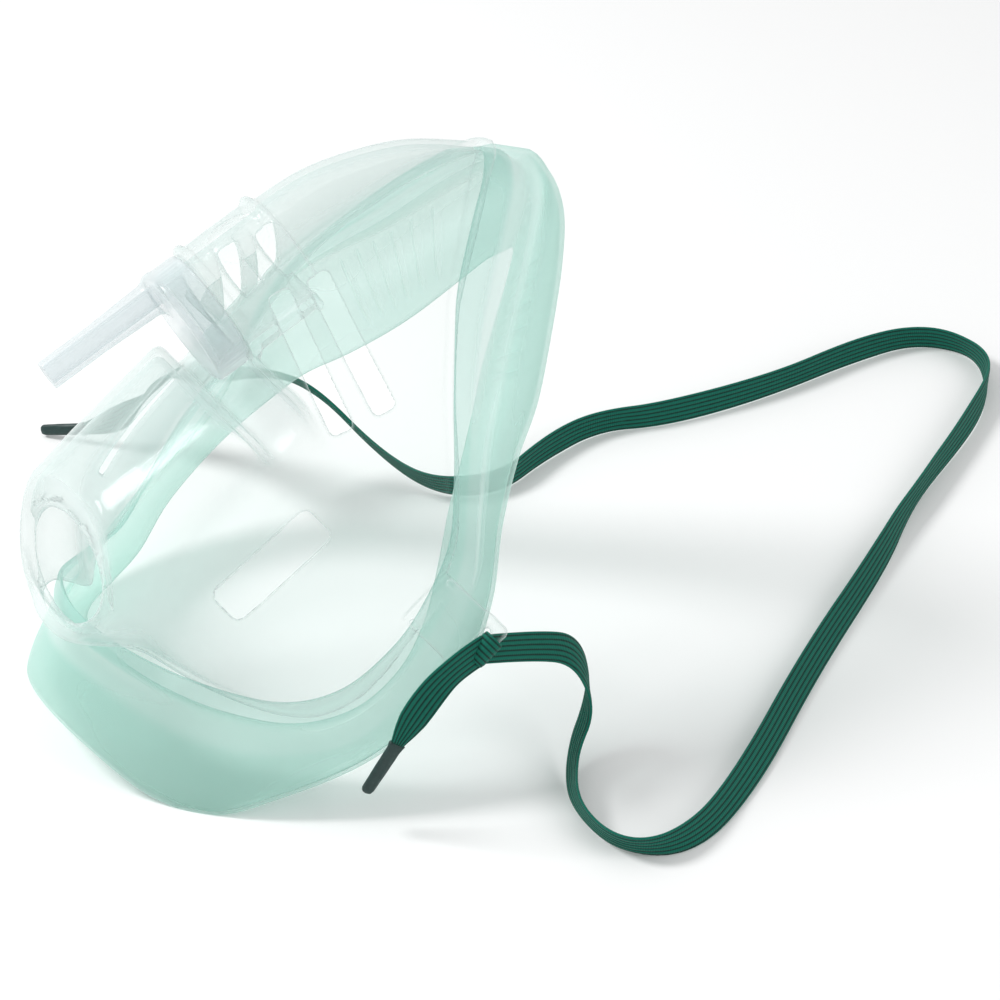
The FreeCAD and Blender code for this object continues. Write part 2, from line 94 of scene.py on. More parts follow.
# Outline of the shell at three heights: z, then (x, half width) from chin to nose.
SHELL_LEVELS = [
    (-4.0, [(-61, 0), (-57, 22), (-50, 40), (-37, 53), (-18, 62), (2, 64), (22, 62), (40, 52),
            (57, 38), (75, 22), (90, 0)]),
    (22.0, [(-58, 0), (-54, 17), (-48, 29.5), (-36, 38.5), (-18, 43.5), (0, 44.5), (18, 43.5),
            (35, 38), (51, 28.5), (68, 16), (80, 0)]),
    (48.0, [(-53, 0), (-50, 10), (-44, 17), (-33, 22), (-18, 24), (-2, 25), (14, 25.5),
            (29, 23.5), (45, 18), (60, 10.5), (70.5, 0)]),
]

# Height of the shell's rim, seen from the side: (x, z).
RIM_SIDE = [(-85, 46), (-64, 43), (-56, 39.5), (-50, 26), (-41, 14), (-30, 11), (-14, 13.5),
            (-4, 15.5), (8, 19.5), (19, 27), (29, 34.5), (39, 40), (46, 42.7), (61, 46), (71, 47),
            (95, 48)]

# Sections of the nose ridge: x, half width at its foot, half width and height of its round top.
RIDGE_SECTIONS = [(6, 25.5, 13, 69.5), (18, 25, 13, 67.5), (29, 23.5, 12.2, 66),
                  (41, 20, 10.5, 64.5), (52, 15.5, 8.8, 60), (61, 11, 7, 54.5), (69.5, 6, 4, 47),
                  (78, 2, 1, 38)]
RIDGE_FOOT = 42.0

# Vent slots: start, end (x, y, z), half width.
SLOTS = [((19.5, -13.5, 71.0), (8.5, -27.0, 45.0), 2.4),
         ((27.5, -12.5, 66.5), (17.5, -27.5, 41.5), 2.4),
         ((-33.0, -35.5, 42.0), (-7.5, -34.5, 39.5), 4.0)]

# Section of the strap ear, (half width, z), and where it starts and how long it is along x.
EAR_SECTION = [(46.8, 17.2), (51.6, 15.8), (56.3, 11.0), (58.4, 8.9), (57.3, 7.8), (55.2, 9.9),
               (50.8, 14.4), (46.4, 15.6)]
EAR_START = -10.5
EAR_LENGTH = 13.0
LUG_BAR = (-3.5, 60.3, 7.0)
LUG_BAR_RADIUS = 1.4
LUG_BAR_HALF = 5.5
LUG_POST_RADIUS = 1.25

# Face seal, wearer's left half from nose to chin: (x, half width, z).
SEAL_RIM = [(70.5, 0, 47), (66.5, 6.5, 46.8), (58, 12.5, 45.6), (46, 20, 42.7), (38, 26, 39.5),
            (28, 33.5, 34), (18, 40, 26.5), (8, 44.8, 19.5), (-4, 47.5, 15.5), (-16, 48, 13),
            (-30, 44.5, 11.5), (-41, 37, 14.5), (-49, 27.5, 25), (-54, 17, 35), (-56, 8, 38.8),
            (-56.5, 0, 39.8)]
SEAL_FOLD = [(75, 0, 39), (71.5, 9, 38.5), (62, 16.5, 37), (48, 25, 34), (38, 32, 32),
             (28, 39, 29), (17.5, 45, 22.5), (6, 49.5, 14), (-7, 52, 9.5), (-20, 52, 6.8),
             (-35, 49, 6), (-46, 42, 11), (-53, 34, 19), (-58, 23, 27.5), (-61, 11, 34.5),
             (-62, 0, 38)]
SEAL_ROLL = [(77.5, 0, 30), (74, 11, 29.5), (65, 20, 27), (51, 30, 23.5), (40, 38, 22),
             (29, 44.5, 21.5), (17, 50, 17), (5, 54, 8.5), (-8, 56, 2), (-22, 56.5, 1),
             (-38, 54, 2.5), (-55, 47, 6), (-67, 39, 8.5), (-73.5, 28, 15), (-75.5, 14, 25),
             (-76, 0, 29)]
SEAL_LIP = [(62, 0, 22), (57, 4, 21), (49, 8, 19), (39, 13, 16.5), (31, 18, 14.5), (22, 24, 13),
            (12, 31, 12), (2, 37, 9), (-8, 42, 6), (-19, 44.5, 4), (-31, 43, 4), (-42, 36, 6.5),
            (-50, 27, 14), (-55, 18, 22), (-57.5, 9, 28), (-58, 0, 30)]

# Strap: centre line as it lies, in millimetres, and the direction across the flat elastic there.
RIBBON_WIDTH = 6.35
RIBBON_THICK = 0.9
LOOP_ROUTE = [
    ((9.8, -60.3, 35.6), (-0.5, -0.2, -0.9)), ((22.5, -60.3, 31.5), (-0.4, -0.4, -0.9)),
    ((33, -59.5, 25.5), (-0.5, -0.8, -0.6)), ((36.5, -60.5, 12), (-0.4, -1.0, 0.1)),
    ((26.5, -67, 3.4), (-0.1, -0.8, 0.9)), ((19.5, -81, 3.4), (-0.3, -0.3, 1.0)),
    ((21, -95.5, 3.3), (-0.4, -0.2, 1.0)), ((34.5, -100.5, 2.8), (-0.3, 0.5, 1.0)),
    ((56, -90, 2.6), (-0.8, 0.9, 0.9)), ((90, -66, 2.8), (-0.6, 0.9, 1.0)),
    ((126, -44, 3.0), (-0.3, 0.6, 1.0)), ((147, -29, 3.4), (0.0, 0.0, 1.0)),
    ((182.5, -9.5, 3.5), (-0.2, 0.3, 1.0)), ((199, 4, 3.5), (0.2, 0.0, 1.0)),
    ((202, 17, 3.5), (-0.3, 0.0, 1.0)), ((193.5, 28, 3.5), (0.0, -0.1, 1.0)),
    ((175.5, 30, 3.5), (0.0, 0.2, 1.0)), ((148.5, 28, 3.5), (0.0, 0.1, 1.0)),
    ((118.5, 31, 3.5), (0.0, 0.3, 1.0)), ((102.5, 37.5, 3.5), (0.0, 0.0, 1.0)),
    ((86, 34.5, 3.5), (0.0, 0.2, 1.0)), ((68, 27, 3.5), (0.0, 0.0, 1.0)),
    ((54, 33.5, 4), (-0.2, -0.1, 1.0)), ((46.5, 45, 9), (-0.2, -0.6, 0.7)),
    ((35, 57.5, 26.5), (-0.3, -0.8, 0.5)), ((22.5, 60.8, 32.5), (0.0, -0.8, 0.5)),
    ((9.8, 60.3, 35.6), (0.5, -0.3, 0.7))]
LEFT_TAIL_ROUTE = [
    ((9.8, -60.3, 35.6), (-0.3, 0.2, 1.0)), ((2, -62.5, 36), (-0.4, 0.2, 1.0)),
    ((-6, -62.6, 30), (-0.6, 0.4, 0.6)), ((-11.5, -61.5, 21), (-0.7, 0.4, 0.5))]
RIGHT_TAIL_ROUTE = [
    ((9.8, 60.3, 35.6), (0.8, 0.0, 0.6)), ((10, 71.5, 32), (0.9, 0.0, 0.3)),
    ((8.5, 82, 24), (1.0, 0.0, 0.2)), ((5.5, 89, 13.5), (0.8, 0.3, 0.4)),
    ((-0.5, 94.5, 7), (0.4, 0.3, 0.9)), ((-5.5, 99.5, 4.2), (0.2, 0.1, 1.0))]
LEFT_TIP_END = (-17.8, -59.0, 9.2)
RIGHT_TIP_END = (-13.2, 108.4, 1.6)


# ---- distance fields ---------------------------------------------------------------------------
def smooth_min(a, b, radius):
    """Union of two fields with a fillet."""
    mix = np.clip(0.5 + 0.5 * (b - a) / radius, 0.0, 1.0)
    return b * (1.0 - mix) + a * mix - radius * mix * (1.0 - mix)


def smooth_max(a, b, radius):
    """Common part of two fields with a rounded edge."""
    return -smooth_min(-a, -b, radius)


def capsule(x, y, z, start, end, radius):
    """A round-ended rod."""
    start = np.array(start, dtype=float)
    along = np.array(end, dtype=float) - start
    reach = (x - start[0]) * along[0] + (y - start[1]) * along[1] + (z - start[2]) * along[2]
    share = np.clip(reach / along.dot(along), 0.0, 1.0)
    dx = x - start[0] - along[0] * share
    dy = y - start[1] - along[1] * share
    dz = z - start[2] - along[2] * share
    return np.sqrt(dx * dx + dy * dy + dz * dz) - radius


def rod(distance, position, radius, low, high, round_off=0.3):
    """A flat-ended rod, from the distance off its axis and the position along it."""
    ends = np.maximum(low - position, position - high)
    return smooth_max(distance - radius, ends, round_off)


def flow_through(points, count=12):
    """Points along the smooth curve through the given ones."""
    spots = np.array(points, dtype=float)
    padded = np.vstack([2 * spots[0] - spots[1], spots, 2 * spots[-1] - spots[-2]])
    steps = np.arange(count)[:, None] / count
    rows = []
    for before, start, end, after in zip(padded, padded[1:], padded[2:], padded[3:]):
        rows.append(0.5 * (2 * start + (end - before) * steps
                           + (2 * before - 5 * start + 4 * end - after) * steps ** 2
                           + (3 * start - before - 3 * end + after) * steps ** 3))
    rows.append(spots[-1:])
    return np.vstack(rows)


def port_coordinates(x, y, z):
    """Depth behind the cap's end face, and the two distances off the port's axis."""
    dx = x - PORT_FRONT[0]
    dz = z - PORT_FRONT[2]
    depth = dx * math.cos(PORT_TILT) - dz * math.sin(PORT_TILT)
    outward = dx * math.sin(PORT_TILT) + dz * math.cos(PORT_TILT)
    return depth, y, outward


def chin_coordinates(x, z):
    """Distance in front of the chin opening's outer oval, and the distance up along it."""
    dx = x - CHIN_RIM[0]
    dz = z - CHIN_RIM[1]
    front = -dx * math.sin(CHIN_LEAN) + dz * math.cos(CHIN_LEAN)
    up = dx * math.cos(CHIN_LEAN) + dz * math.sin(CHIN_LEAN)
    return front, up


# ---- shell fields ------------------------------------------------------------------------------
CHEEK_MIDDLE = 5.0          # x of the middle that the cheeks' outlines are measured from


def level_radius(level, angle):
    """Distance of one level's outline from the middle, by angle from the nose."""
    outline = flow_through(level[1])
    radius = np.hypot(outline[:, 0] - CHEEK_MIDDLE, outline[:, 1])
    bearing = np.arctan2(outline[:, 1], outline[:, 0] - CHEEK_MIDDLE)
    return np.interp(angle, bearing[::-1], radius[::-1])


def cheek_field(x, y, z):
    """The flared body of the shell."""
    radius = np.hypot(x - CHEEK_MIDDLE, y)
    angle = np.arctan2(np.abs(y), x - CHEEK_MIDDLE)
    low, middle, high = [level_radius(level, angle) for level in SHELL_LEVELS]
    z0, z1, z2 = [level[0] for level in SHELL_LEVELS]
    reach = (low * (z - z1) * (z - z2) / ((z0 - z1) * (z0 - z2))
             + middle * (z - z0) * (z - z2) / ((z1 - z0) * (z1 - z2))
             + high * (z - z0) * (z - z1) / ((z2 - z0) * (z2 - z1)))
    slope = (high - low) / (z2 - z0)
    side = (radius - reach) / np.sqrt(1.0 + slope * slope)
    return smooth_max(side, z - SHOULDER, SHOULDER_ROUND)


def ridge_field(x, y, z):
    """The rounded wedge from the port up to the bridge of the nose."""
    sections = flow_through(RIDGE_SECTIONS)
    foot = np.interp(x, sections[:, 0], sections[:, 1])
    top = np.interp(x, sections[:, 0], sections[:, 2])
    height = np.interp(x, sections[:, 0], sections[:, 3])
    round_top = np.hypot(y, z - height) - top
    share = np.clip((height - z) / (height - RIDGE_FOOT), 0.0, 1.6)
    width = top + (foot - top) * share ** 1.4
    flank = (np.abs(y) - width) * 0.85
    body = np.where(z > height, round_top, flank)
    body = body * np.interp(x, (30, 60, 70), (1.0, 0.85, 0.7))
    return smooth_max(body, RIDGE_SECTIONS[0][0] - x, 1.5)


def bulge_field(x, y, z):
    """The bulge over mouth and chin, cut off under the port and at the chin opening."""
    body = capsule(x, y, z, BULGE_CHIN, BULGE_NOSE, BULGE_RADIUS)
    depth, _, _ = port_coordinates(x, y, z)
    body = smooth_max(body, depth + BULGE_SILL, 2.0)
    front, up = chin_coordinates(x, z)
    above = up - CHIN_RIM[2] - CHIN_LAND
    bevel = front * math.cos(CHIN_BEVEL) + above * math.sin(CHIN_BEVEL)
    body = smooth_max(body, bevel, 9.0)
    return smooth_max(body, front, 2.0)


def outer_form(x, y, z):
    """The outside of the shell's wall: cheeks, nose ridge and mouth bulge run together."""
    body = smooth_min(cheek_field(x, y, z), ridge_field(x, y, z), 5.0)
    return smooth_min(body, bulge_field(x, y, z), 4.5)


def chin_oval(depth, up, y):
    """How far a point is outside the funnel of the chin opening, measured across it."""
    throat_front, throat_up = chin_coordinates(CHIN_THROAT[0], CHIN_THROAT[1])
    share = np.clip(depth / -throat_front, -0.4, 1.0)
    half_height = CHIN_RIM[2] + (CHIN_THROAT[2] - CHIN_RIM[2]) * share
    half_width = CHIN_RIM[3] + (CHIN_THROAT[3] - CHIN_RIM[3]) * share
    oval = np.sqrt(((up - throat_up * share) / half_height) ** 2 + (y / half_width) ** 2)
    return (oval - 1.0) * half_height


def chin_funnel(x, y, z):
    """Distance outside the clear way through the chin opening, and in front of it."""
    front, up = chin_coordinates(x, z)
    across = chin_oval(-front, up, y)
    step = 0.4
    lean = (chin_oval(step - front, up, y) - chin_oval(-step - front, up, y)) / (2 * step)
    return across / np.sqrt(1.0 + lean * lean), front


def slot_field(x, y, z, start, end, half_width):
    """A slot with rounded corners, cut square through the wall."""
    start = np.array(start)
    along = np.array(end) - start
    length = np.linalg.norm(along)
    along = along / length
    outward = np.array((0.0, -1.0, 0.75))
    across = np.cross(along, outward)
    across = across / np.linalg.norm(across)
    through = np.cross(across, along)
    side = np.abs(y) * -1.0
    position = [(x - start[0]) * d[0] + (side - start[1]) * d[1] + (z - start[2]) * d[2]
                for d in (along, across, through)]
    corner = half_width * 0.5
    dx = np.abs(position[0] - length / 2) - length / 2 + corner
    dy = np.abs(position[1]) - half_width + corner
    outside = np.hypot(np.maximum(dx, 0.0), np.maximum(dy, 0.0))
    plan = outside + np.minimum(np.maximum(dx, dy), 0.0) - corner
    return smooth_max(plan, np.abs(position[2]) - 11.0, 0.2)


def ear_field(x, y, z):
    """The two strap ears with their lug bars: a bent plate, two ribs, two posts and the bar."""
    side = np.abs(y)
    corners = np.array(EAR_SECTION)
    closest = np.full(np.broadcast(side, z).shape, 1e9)
    inside = np.zeros(closest.shape, dtype=bool)
    for (ay, az), (by, bz) in zip(corners, np.roll(corners, -1, axis=0)):
        ey, ez = by - ay, bz - az
        share = np.clip(((side - ay) * ey + (z - az) * ez) / (ey * ey + ez * ez), 0.0, 1.0)
        closest = np.minimum(closest, np.hypot(side - ay - ey * share, z - az - ez * share))
        crosses = ((az > z) != (bz > z)) & (side < ey * (z - az) / (ez + 1e-12) + ay)
        inside ^= crosses
    plate = np.where(inside, -closest, closest)
    middle = EAR_START + EAR_LENGTH / 2
    plate = smooth_max(plate, np.abs(x - middle) - EAR_LENGTH / 2, 0.8)
    bar_x, bar_y, bar_z = LUG_BAR
    bar = capsule(x, side, z, (bar_x - LUG_BAR_HALF + 1, bar_y, bar_z),
                  (bar_x + LUG_BAR_HALF - 1, bar_y, bar_z), LUG_BAR_RADIUS)
    body = plate
    for post_x in (EAR_START + 1.0, EAR_START + EAR_LENGTH - 1.0):
        post = capsule(x, side, z, (post_x, 57.2, 9.3), (post_x, bar_y, bar_z),
                       LUG_POST_RADIUS)
        body = smooth_min(body, post, 0.8)
        rib = capsule(x, side, z, (post_x, 50.0, 16.8), (post_x, 57.4, 9.6), 0.7)
        body = smooth_min(body, rib, 0.5)
    return smooth_min(body, bar, 0.8)


def collar_field(x, y, z):
    """The round port with its raised rings and blank disc, before it is bored."""
    depth, side, outward = port_coordinates(x, y, z)
    distance = np.hypot(side, outward)
    body = rod(distance, depth, COLLAR_RADIUS, CAP_LENGTH + BEAD_GAP, COLLAR_LENGTH)
    spigot = rod(distance, depth, SPIGOT_RADIUS, CAP_PLATE + 0.5, CAP_LENGTH + 2.0)
    body = np.minimum(body, spigot)
    for middle in (CAP_LENGTH + 1.3, COLLAR_LENGTH - 1.0):
        ring = np.hypot(distance - (BEAD_RADIUS - BEAD_ROUND), depth - middle) - BEAD_ROUND
        body = smooth_min(body, ring, 0.5)
    turn = np.arctan2(side, outward)
    arc = np.abs(turn - RIB_TURN) - RIB_HALF_TURN
    rib = np.hypot(distance - (COLLAR_RADIUS + 0.1), depth - RIB_AT) - 0.55
    body = smooth_min(body, smooth_max(rib, arc * COLLAR_RADIUS, 0.6), 0.4)
    off_axis = np.hypot((turn - DISC_TURN) * COLLAR_RADIUS, depth - DISC_AT)
    raised = smooth_max(off_axis - (DISC_RADIUS - 1.0), distance - COLLAR_RADIUS - 0.35, 0.3)
    raised = smooth_max(raised, COLLAR_RADIUS - 1.0 - distance, 0.3)
    ring = np.hypot(off_axis - DISC_RADIUS, distance - COLLAR_RADIUS) - 0.55
    body = smooth_min(body, raised, 0.3)
    return smooth_min(body, ring, 0.3)


def rim_distance(x, z):
    """Height under the shell's rim, made a true distance."""
    side = flow_through(RIM_SIDE)
    height = np.interp(x, side[:, 0], side[:, 1])
    slope = np.interp(x, side[:, 0], np.gradient(side[:, 1], side[:, 0]))
    return (height - z) / np.sqrt(1.0 + slope * slope)


def shell_field(x, y, z):
    """The whole clear moulding."""
    form = outer_form(x, y, z)
    wall = smooth_max(form, -(form + WALL), 0.15)
    depth, side, outward = port_coordinates(x, y, z)
    distance = np.hypot(side, outward)
    beside_cap = np.abs(depth - 3.9) - 4.5
    cap_room = np.maximum(distance - COLLAR_RADIUS - CAP_ROOM, beside_cap)
    wall = np.maximum(wall, -cap_room)
    funnel, front = chin_funnel(x, y, z)
    throat = smooth_max(np.abs(front + CHIN_DEPTH / 2) - CHIN_DEPTH / 2,
                        np.abs(funnel - WALL / 2) - WALL / 2, 0.4)
    throat = np.maximum(throat, form + 0.05)
    wall = smooth_min(wall, throat, 0.8)
    wall = smooth_max(wall, -np.maximum(funnel, np.abs(front) - 4.5), 0.5)
    body = smooth_min(wall, collar_field(x, y, z), 1.0)
    bore = np.maximum(distance - COLLAR_BORE, depth - COLLAR_LENGTH - 1.0)
    body = smooth_max(body, -bore, 0.4)
    for start, end, half_width in SLOTS:
        body = smooth_max(body, -slot_field(x, y, z, start, end, half_width), 0.9)
    rim = rim_distance(x, z)
    body = smooth_max(body, rim, 0.5)
    bead_radius = np.interp(x, (-60, -20, 40, 68), (0.95, 0.8, 0.9, 1.5))
    bead = np.hypot(form + WALL / 2, rim + 0.6) - bead_radius
    body = smooth_min(body, bead, 0.6)
    return np.minimum(body, ear_field(x, y, z))


def connector_field(x, y, z):
    """The swivel cap and its nipple."""
    depth, side, outward = port_coordinates(x, y, z)
    distance = np.hypot(side, outward)
    cap = rod(distance, depth, COLLAR_RADIUS, 0.0, CAP_LENGTH, CAP_ROUND)
    fade = np.clip(1.0 - np.abs(depth - CAP_LENGTH / 2 - 0.5) / 3.0, 0.0, 1.0)
    grip = 0.12 * np.cos(np.arctan2(side, outward) * CAP_GRIPS) * fade
    cap = cap + np.maximum(grip, -0.05) * 0.5 + 0.05
    off = np.hypot(side - NIPPLE_OFFSET * math.sin(NIPPLE_TURN),
                   outward - NIPPLE_OFFSET * math.cos(NIPPLE_TURN))
    out = -depth
    taper = np.interp(out, (0.0, NIPPLE_LENGTH - NIPPLE_BARREL, NIPPLE_LENGTH),
                      (NIPPLE_ROOT_RADIUS, NIPPLE_TIP_RADIUS, NIPPLE_TIP_RADIUS))
    nipple = smooth_max(off - taper, np.maximum(-0.5 - out, out - NIPPLE_LENGTH), 0.5)
    body = smooth_min(cap, nipple, 2.4)
    hollow = np.maximum(distance - SPIGOT_RADIUS - SWIVEL_CLEARANCE, CAP_PLATE - depth)
    body = smooth_max(body, -hollow, 0.3)
    return smooth_max(body, -np.maximum(off - NIPPLE_BORE, -4.0 - out), 0.3)


# ---- meshing -----------------------------------------------------------------------------------
def to_rest(spots):
    """Mask frame in millimetres to the resting frame in metres."""
    cos, sin = math.cos(REST_TILT), math.sin(REST_TILT)
    laid = np.stack([spots[:, 0] * cos - spots[:, 2] * sin, spots[:, 1],
                     spots[:, 0] * sin + spots[:, 2] * cos], axis=1)
    return (laid + REST_SHIFT) * MM


def add_object(name, spots, faces, smooth=True):
    """A mesh object from points in metres."""
    mesh = bpy.data.meshes.new(name)
    mesh.from_pydata(spots.tolist(), [], faces)
    mesh.validate()
    mesh.polygons.foreach_set("use_smooth", [smooth] * len(mesh.polygons))
    piece = bpy.data.objects.new(name, mesh)
    bpy.context.scene.collection.objects.link(piece)
    return piece


def settle(field, spots, limit):
    """Move mesh points onto the field's surface, by no more than the limit."""
    start = spots.copy()
    h = 0.05
    for _ in range(4):
        x, y, z = spots.T
        value = field(x, y, z)
        slope = np.stack([field(x + h, y, z) - field(x - h, y, z),
                          field(x, y + h, z) - field(x, y - h, z),
                          field(x, y, z + h) - field(x, y, z - h)], axis=1) / (2 * h)
        steep = np.maximum((slope * slope).sum(axis=1), 0.15)
        spots = spots - slope * (value / steep)[:, None]
        spots = start + np.clip(spots - start, -limit, limit)
    return spots


def mesh_field(name, field, low, high, step):
    """A closed quad mesh on the surface where the field is zero."""
    axes = [np.arange(a, b + step, step) for a, b in zip(low, high)]
    x = axes[0][:, None, None]
    y = axes[1][None, :, None]
    z = axes[2][None, None, :]
    shape = tuple(len(axis) for axis in axes)
    grid = np.empty(shape, dtype=np.float32)
    for first in range(0, shape[0], 16):
        part = slice(first, first + 16)
        grid[part] = field(x[part] + 0 * y + 0 * z, y + 0 * x[part] + 0 * z,
                           z + 0 * x[part] + 0 * y)
    inside = grid < 0
    total = np.zeros([n - 1 for n in shape] + [3], dtype=np.float32)
    count = np.zeros([n - 1 for n in shape], dtype=np.float32)
    crossings = []
    for axis in range(3):
        ahead = [slice(None)] * 3
        behind = [slice(None)] * 3
        ahead[axis] = slice(1, None)
        behind[axis] = slice(None, -1)
        a, b = grid[tuple(behind)], grid[tuple(ahead)]
        cross = inside[tuple(behind)] != inside[tuple(ahead)]
        where = np.nonzero(cross)
        share = a[where] / (a[where] - b[where])
        spots = np.stack(where, axis=1).astype(np.float32)
        spots[:, axis] += share
        crossings.append((where, inside[tuple(behind)][where]))
        others = [d for d in range(3) if d != axis]
        for shift_a in (0, 1):
            for shift_b in (0, 1):
                cell = [w.copy() for w in where]
                cell[others[0]] -= shift_a
                cell[others[1]] -= shift_b
                np.add.at(total, tuple(cell), spots)
                np.add.at(count, tuple(cell), 1)
    active = count > 0
    number = np.full(active.shape, -1, dtype=np.int64)
    number[active] = np.arange(active.sum())
    spots = total[active] / count[active][:, None] * step + np.array([a[0] for a in axes])
    faces = []
    for axis, (where, starts_inside) in enumerate(crossings):
        others = [(axis + 1) % 3, (axis + 2) % 3]
        ring = []
        for shift_a, shift_b in ((0, 0), (1, 0), (1, 1), (0, 1)):
            cell = [w.copy() for w in where]
            cell[others[0]] -= shift_a
            cell[others[1]] -= shift_b
            ring.append(number[tuple(cell)])
        ring = np.stack(ring, axis=1)
        ring[starts_inside] = ring[starts_inside][:, ::-1]
        faces.append(ring)
    faces = np.vstack(faces)[:, ::-1]
    spots = settle(field, spots.astype(float), 0.6 * step)
    return add_object(name, to_rest(spots), faces.tolist())


# ---- face seal ---------------------------------------------------------------------------------
SEAL_AROUND = 900           # stations round the seal
SEAL_ACROSS = 64            # points over its skin at each station
SEAL_RIBS = 6               # on the nose lip, each side
RIB_FIRST = 0.052           # where the first is, and how far apart they are, round the seal
RIB_APART = 0.0125


def round_the_face(half_line):
    """A closed smooth line round the mask from one half, nose first, evenly spread."""
    left = [(x, -width, z) for x, width, z in half_line]
    right = [(x, width, z) for x, width, z in half_line[-2:0:-1]]
    ring = np.array(left + right, dtype=float)
    padded = np.vstack([ring[-2:], ring, ring[:2]])
    return flow_through(padded, 16)[32:-32]


def ring_samples(line, stations):
    """Points on a closed line at station numbers counted along its given points."""
    spread = np.linspace(0.0, 1.0, len(line), endpoint=False)
    wanted = stations % 1.0
    return np.stack([np.interp(wanted, spread, line[:, d], period=1.0) for d in range(3)], axis=1)


def seal_profile(share, rim, fold, roll, lip, outward):
    """The seal's outer skin at every station, from the shell's rim over the roll to the lip."""
    nose = np.clip((rim[:, 0:1] + 10.0) / 60.0, 0.0, 1.0)
    top = rim + (rim - fold) * 0.10 + outward * 0.75
    band = rim * 0.5 + fold * 0.5 + outward * 0.9
    groove = fold + outward * (0.5 - 0.9 * nose)
    crest = fold + (roll - fold) * 0.30 + outward * (0.5 + 2.3 * nose)
    shoulder = fold + (roll - fold) * 0.68 + outward * (0.8 + 1.1 * nose)
    under = roll * 0.72 + lip * 0.28 + (roll - fold) * 0.10
    middle = roll * 0.38 + lip * 0.62 + (roll - fold) * 0.05
    knots = [top, rim + outward * 0.85, band, groove, crest, shoulder, roll, under, middle, lip]
    places = np.array([0.0, 0.06, 0.16, 0.27, 0.36, 0.47, 0.60, 0.72, 0.86, 1.0])
    knots = np.stack(knots)
    ahead = np.vstack([2 * knots[:1] - knots[1:2], knots, 2 * knots[-1:] - knots[-2:-1]])
    index = min(int(np.searchsorted(places, share, side="right")) - 1, len(places) - 2)
    t = (share - places[index]) / (places[index + 1] - places[index])
    before, start, end, after = ahead[index:index + 4]
    return 0.5 * (2 * start + (end - before) * t
                  + (2 * before - 5 * start + 4 * end - after) * t ** 2
                  + (3 * start - before - 3 * end + after) * t ** 3)


def seal_grid(stations, shares):
    """The seal's outer skin as a grid of points: stations round it by places across it."""
    rim, fold, roll, lip = [ring_samples(round_the_face(line), stations)
                            for line in (SEAL_RIM, SEAL_FOLD, SEAL_ROLL, SEAL_LIP)]
    around = np.roll(fold, -3, axis=0) - np.roll(fold, 3, axis=0)
    outward = np.cross(around, roll - rim)
    outward /= np.linalg.norm(outward, axis=1)[:, None]
    away = fold - np.array((0.0, 0.0, 20.0))
    outward *= np.sign((outward * away).sum(axis=1))[:, None]
    return np.stack([seal_profile(s, rim, fold, roll, lip, outward) for s in shares], axis=1)


def face_seal():
    """The soft seal: band, roll and the ribbed lip that lies on the face, as one thin skin."""
    stations = np.linspace(0.0, 1.0, SEAL_AROUND, endpoint=False)
    shares = np.linspace(0.0, 1.0, SEAL_ACROSS)
    outer = seal_grid(stations, shares)
    along = np.roll(outer, -1, axis=0) - np.roll(outer, 1, axis=0)
    down = np.gradient(outer, axis=1)
    normal = np.cross(along, down)
    normal /= np.maximum(np.linalg.norm(normal, axis=2), 1e-6)[:, :, None]
    middle = outer.mean(axis=(0, 1))
    if (normal[:, 0] * (outer[:, 0] - middle)).sum() < 0:
        normal = -normal
    thick = np.interp(shares, (0.0, 0.05, 0.3, 0.6, 0.95, 1.0), (0.35, 1.0, 1.2, 1.0, 0.6, 0.25))
    thick = np.broadcast_to(thick, outer.shape[:2]).copy()
    side = np.minimum(stations, 1.0 - stations)
    across = np.interp(shares, (0.62, 0.70, 0.86, 0.94), (0.0, 1.0, 1.0, 0.0))
    for rib in range(SEAL_RIBS):
        place = RIB_FIRST + RIB_APART * rib
        bump = np.exp(-((side - place) / 0.0013) ** 2)
        thick += 0.9 * bump[:, None] * across[None, :]
    inner = outer - normal * thick[:, :, None]
    spots = np.vstack([outer.reshape(-1, 3), inner.reshape(-1, 3)])
    columns = len(shares)
    rows = len(stations)
    offset = rows * columns
    faces = []
    for row in range(rows):
        following = (row + 1) % rows
        for column in range(columns - 1):
            a = row * columns + column
            b = following * columns + column
            faces.append((a, a + 1, b + 1, b))
            faces.append((offset + a, offset + b, offset + b + 1, offset + a + 1))
        for column in (0, columns - 1):
            a = row * columns + column
            b = following * columns + column
            rim_face = (a, b, offset + b, offset + a)
            faces.append(rim_face if column == 0 else rim_face[::-1])
    piece = add_object("soft_face_seal", to_rest(spots), faces)
    skin = piece.data.uv_layers.new(name="skin")
    for loop in piece.data.loops:
        row, column = divmod(loop.vertex_index % offset, columns)
        skin.data[loop.index].uv = (shares[column], stations[row])
    return piece


# ---- strap -------------------------------------------------------------------------------------
RIBBON_CORDS = 6            # rubber cords that run lengthwise in the elastic


def route_line(name, route):
    """The smooth line of a strap, as an open curve through its route's points."""
    curve = bpy.data.curves.new(name + "_line", "CURVE")
    curve.dimensions = "3D"
    curve.resolution_u = 16
    spline = curve.splines.new("NURBS")
    spline.points.add(len(route) - 1)
    for control, (spot, _) in zip(spline.points, route):
        control.co = (spot[0] * MM, spot[1] * MM, spot[2] * MM, 1.0)
    spline.order_u = 3
    spline.use_endpoint_u = True
    holder = bpy.data.objects.new(name + "_line", curve)
    mesh = bpy.data.meshes.new_from_object(holder)
    line = np.array([vertex.co[:] for vertex in mesh.vertices])
    bpy.data.objects.remove(holder)
    bpy.data.curves.remove(curve)
    bpy.data.meshes.remove(mesh)
    return line


